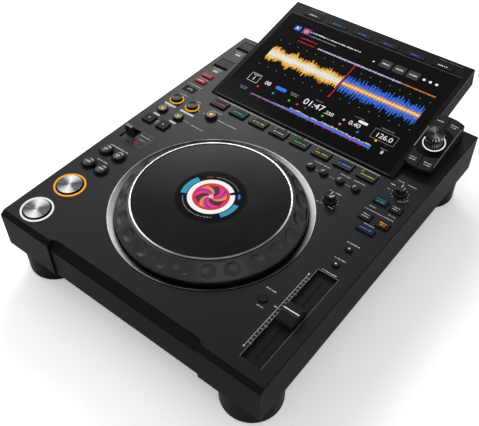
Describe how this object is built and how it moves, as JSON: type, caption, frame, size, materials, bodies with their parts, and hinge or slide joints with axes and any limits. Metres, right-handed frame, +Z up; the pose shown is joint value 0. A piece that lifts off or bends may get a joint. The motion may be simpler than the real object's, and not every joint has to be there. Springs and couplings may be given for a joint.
{
  "type": "tabletop media player",
  "caption": "Flat DJ media player with a jog wheel, tilted touch display, cue pads, tempo slider and round feet.",
  "frame": {"origin": "under the middle of the whole object's box, on the table", "axes": "+X to the right, +Y to the back, +Z up"},
  "size_m": [0.33, 0.4666, 0.1188],
  "materials": {
    "panel_paint": "fine satin anodised charcoal",
    "case_plastic": "matte moulded, slight grain",
    "steel_black": "powder coated",
    "screw_steel": "zinc plated",
    "foot_rubber": "satin moulded",
    "bezel_silver": "brushed, anodised",
    "grip_rubber": "matte with dimples",
    "gloss_black": "polished",
    "hub_plastic": "moulded",
    "transport_metal": "spun",
    "light_ring": "lit diffuser",
    "button_black": "satin to gloss",
    "knob_plastic": "soft touch",
    "shaft_steel": "turned",
    "screen_glass": "polished",
    "screen_module": "lit panel",
    "circuit_board": "solder mask",
    "supply_case": "folded sheet",
    "socket_plastic": "moulded"
  },
  "bodies": {
    "chassis": {"top_panel": "panel_paint", "upper_case": "case_plastic", "bottom_plate": "steel_black", "case_screws": "screw_steel", "feet": "foot_rubber", "transport_light_rings": "light_ring", "jog_bezel_ring": "bezel_silver", "jog_pan": "case_plastic", "jog_spindle": "screw_steel", "jog_display": "gloss_black", "lever_bracket": "screw_steel", "knob_bushes": "hub_plastic", "fader_track": "hub_plastic", "media_slots": "case_plastic", "display_rear_cover": "case_plastic", "display_front_frame": "case_plastic", "display_glass": "screen_glass", "display_panel": "screen_module", "selector_housing": "case_plastic", "control_board": "circuit_board", "main_board": "circuit_board", "power_supply": "supply_case", "rear_jack_plate": "steel_black", "ac_inlet": "socket_plastic"},
    "jog_wheel": {"jog_hub": "hub_plastic", "jog_grip_ring": "grip_rubber", "jog_trim_ring": "bezel_silver", "jog_top_plate": "gloss_black"},
    "play_button_body": {"play_button": "transport_metal"},
    "cue_button_body": {"cue_button": "transport_metal"},
    "track_search_buttons_body": {"track_search_buttons": "button_black"},
    "scan_buttons_body": {"scan_buttons": "button_black"},
    "loop_in_button_body": {"loop_in_button": "button_black"},
    "loop_out_button_body": {"loop_out_button": "button_black"},
    "reloop_button_body": {"reloop_button": "button_black"},
    "loop_size_buttons_body": {"loop_size_buttons": "button_black"},
    "memory_buttons_body": {"memory_buttons": "button_black"},
    "tempo_buttons_body": {"tempo_buttons": "button_black"},
    "beat_jump_buttons_body": {"beat_jump_buttons": "button_black"},
    "mode_buttons_body": {"mode_buttons": "button_black"},
    "sync_buttons_body": {"sync_buttons": "button_black"},
    "media_stop_buttons_body": {"media_stop_buttons": "button_black"},
    "hot_cue_pad_1_body": {"hot_cue_pad_1": "button_black"},
    "hot_cue_pad_2_body": {"hot_cue_pad_2": "button_black"},
    "hot_cue_pad_3_body": {"hot_cue_pad_3": "button_black"},
    "hot_cue_pad_4_body": {"hot_cue_pad_4": "button_black"},
    "hot_cue_pad_5_body": {"hot_cue_pad_5": "button_black"},
    "hot_cue_pad_6_body": {"hot_cue_pad_6": "button_black"},
    "hot_cue_pad_7_body": {"hot_cue_pad_7": "button_black"},
    "hot_cue_pad_8_body": {"hot_cue_pad_8": "button_black"},
    "display_buttons_body": {"display_buttons": "button_black"},
    "selector_keys_body": {"selector_keys": "button_black"},
    "selector_shaft_body": {"selector_shaft": "shaft_steel"},
    "rotary_selector_body": {"rotary_selector": "knob_plastic"},
    "touch_cue_knob_body": {"touch_cue_knob": "knob_plastic"},
    "speed_knob_body": {"speed_knob": "knob_plastic"},
    "direction_lever_body": {"direction_lever": "knob_plastic"},
    "tempo_slider_body": {"tempo_slider": "knob_plastic"},
    "card_door_body": {"card_door": "knob_plastic"},
    "stick_door_body": {"stick_door": "knob_plastic"}
  },
  "joints": [
    {"name": "jog_spin", "type": "hinge", "parent": "chassis", "child": "jog_wheel", "pos_m": [0, -0.09706, 0.0784], "axis": [0, 0, 1], "continuous": true},
    {"name": "play_button_press", "type": "slide", "parent": "chassis", "child": "play_button_body", "axis": [0, 0, -1], "range_m": [0, 0.001], "stiffness_N_per_m": 500, "springref_m": -0.001},
    {"name": "cue_button_press", "type": "slide", "parent": "chassis", "child": "cue_button_body", "axis": [0, 0, -1], "range_m": [0, 0.001], "stiffness_N_per_m": 500, "springref_m": -0.001},
    {"name": "track_search_buttons_press", "type": "slide", "parent": "chassis", "child": "track_search_buttons_body", "axis": [0, 0, -1], "range_m": [0, 0.001], "stiffness_N_per_m": 500, "springref_m": -0.001},
    {"name": "scan_buttons_press", "type": "slide", "parent": "chassis", "child": "scan_buttons_body", "axis": [0, 0, -1], "range_m": [0, 0.001], "stiffness_N_per_m": 500, "springref_m": -0.001},
    {"name": "loop_in_button_press", "type": "slide", "parent": "chassis", "child": "loop_in_button_body", "axis": [0, 0, -1], "range_m": [0, 0.001], "stiffness_N_per_m": 500, "springref_m": -0.001},
    {"name": "loop_out_button_press", "type": "slide", "parent": "chassis", "child": "loop_out_button_body", "axis": [0, 0, -1], "range_m": [0, 0.001], "stiffness_N_per_m": 500, "springref_m": -0.001},
    {"name": "reloop_button_press", "type": "slide", "parent": "chassis", "child": "reloop_button_body", "axis": [0, 0, -1], "range_m": [0, 0.001], "stiffness_N_per_m": 500, "springref_m": -0.001},
    {"name": "loop_size_buttons_press", "type": "slide", "parent": "chassis", "child": "loop_size_buttons_body", "axis": [0, 0, -1], "range_m": [0, 0.001], "stiffness_N_per_m": 500, "springref_m": -0.001},
    {"name": "memory_buttons_press", "type": "slide", "parent": "chassis", "child": "memory_buttons_body", "axis": [0, 0, -1], "range_m": [0, 0.001], "stiffness_N_per_m": 500, "springref_m": -0.001},
    {"name": "tempo_buttons_press", "type": "slide", "parent": "chassis", "child": "tempo_buttons_body", "axis": [0, 0, -1], "range_m": [0, 0.001], "stiffness_N_per_m": 500, "springref_m": -0.001},
    {"name": "beat_jump_buttons_press", "type": "slide", "parent": "chassis", "child": "beat_jump_buttons_body", "axis": [0, 0, -1], "range_m": [0, 0.001], "stiffness_N_per_m": 500, "springref_m": -0.001},
    {"name": "mode_buttons_press", "type": "slide", "parent": "chassis", "child": "mode_buttons_body", "axis": [0, 0, -1], "range_m": [0, 0.001], "stiffness_N_per_m": 500, "springref_m": -0.001},
    {"name": "sync_buttons_press", "type": "slide", "parent": "chassis", "child": "sync_buttons_body", "axis": [0, 0, -1], "range_m": [0, 0.001], "stiffness_N_per_m": 500, "springref_m": -0.001},
    {"name": "media_stop_buttons_press", "type": "slide", "parent": "chassis", "child": "media_stop_buttons_body", "axis": [0, 0, -1], "range_m": [0, 0.001], "stiffness_N_per_m": 500, "springref_m": -0.001},
    {"name": "hot_cue_pad_1_press", "type": "slide", "parent": "chassis", "child": "hot_cue_pad_1_body", "axis": [0, 0, -1], "range_m": [0, 0.001], "stiffness_N_per_m": 500, "springref_m": -0.001},
    {"name": "hot_cue_pad_2_press", "type": "slide", "parent": "chassis", "child": "hot_cue_pad_2_body", "axis": [0, 0, -1], "range_m": [0, 0.001], "stiffness_N_per_m": 500, "springref_m": -0.001},
    {"name": "hot_cue_pad_3_press", "type": "slide", "parent": "chassis", "child": "hot_cue_pad_3_body", "axis": [0, 0, -1], "range_m": [0, 0.001], "stiffness_N_per_m": 500, "springref_m": -0.001},
    {"name": "hot_cue_pad_4_press", "type": "slide", "parent": "chassis", "child": "hot_cue_pad_4_body", "axis": [0, 0, -1], "range_m": [0, 0.001], "stiffness_N_per_m": 500, "springref_m": -0.001},
    {"name": "hot_cue_pad_5_press", "type": "slide", "parent": "chassis", "child": "hot_cue_pad_5_body", "axis": [0, 0, -1], "range_m": [0, 0.001], "stiffness_N_per_m": 500, "springref_m": -0.001},
    {"name": "hot_cue_pad_6_press", "type": "slide", "parent": "chassis", "child": "hot_cue_pad_6_body", "axis": [0, 0, -1], "range_m": [0, 0.001], "stiffness_N_per_m": 500, "springref_m": -0.001},
    {"name": "hot_cue_pad_7_press", "type": "slide", "parent": "chassis", "child": "hot_cue_pad_7_body", "axis": [0, 0, -1], "range_m": [0, 0.001], "stiffness_N_per_m": 500, "springref_m": -0.001},
    {"name": "hot_cue_pad_8_press", "type": "slide", "parent": "chassis", "child": "hot_cue_pad_8_body", "axis": [0, 0, -1], "range_m": [0, 0.001], "stiffness_N_per_m": 500, "springref_m": -0.001},
    {"name": "display_buttons_press", "type": "slide", "parent": "chassis", "child": "display_buttons_body", "axis": [0, 0.2158, -0.9764], "range_m": [0, 0.0006], "stiffness_N_per_m": 500, "springref_m": -0.001},
    {"name": "selector_keys_press", "type": "slide", "parent": "chassis", "child": "selector_keys_body", "axis": [0, 0.2158, -0.9764], "range_m": [0, 0.0006], "stiffness_N_per_m": 500, "springref_m": -0.001},
    {"name": "selector_push", "type": "slide", "parent": "chassis", "child": "selector_shaft_body", "axis": [0, 0.2158, -0.9764], "range_m": [0, 0.0008], "stiffness_N_per_m": 600, "springref_m": -0.001},
    {"name": "selector_turn", "type": "hinge", "parent": "selector_shaft_body", "child": "rotary_selector_body", "pos_m": [0.137, 0.11238, 0.09328], "axis": [0, -0.2158, 0.9764], "continuous": true},
    {"name": "touch_cue_knob_turn", "type": "hinge", "parent": "chassis", "child": "touch_cue_knob_body", "pos_m": [0.0891, -0.01526, 0.0784], "axis": [0, 0, -1], "range_deg": [-150, 150]},
    {"name": "speed_knob_turn", "type": "hinge", "parent": "chassis", "child": "speed_knob_body", "pos_m": [0.1406, 0.03704, 0.0784], "axis": [0, 0, -1], "range_deg": [-150, 150]},
    {"name": "direction_lever_tilt", "type": "hinge", "parent": "chassis", "child": "direction_lever_body", "pos_m": [-0.1465, -0.06406, 0.0724], "axis": [1, 0, 0], "range_deg": [-20, 20]},
    {"name": "tempo_slide", "type": "slide", "parent": "chassis", "child": "tempo_slider_body", "axis": [0, 1, 0], "range_m": [-0.044, 0.044]},
    {"name": "card_door_hinge", "type": "hinge", "parent": "chassis", "child": "card_door_body", "pos_m": [-0.148, 0.16084, 0.0773], "axis": [-1, 0, 0], "range_deg": [0, 95]},
    {"name": "stick_door_hinge", "type": "hinge", "parent": "chassis", "child": "stick_door_body", "pos_m": [-0.148, 0.11434, 0.0773], "axis": [-1, 0, 0], "range_deg": [0, 95]}
  ]
}
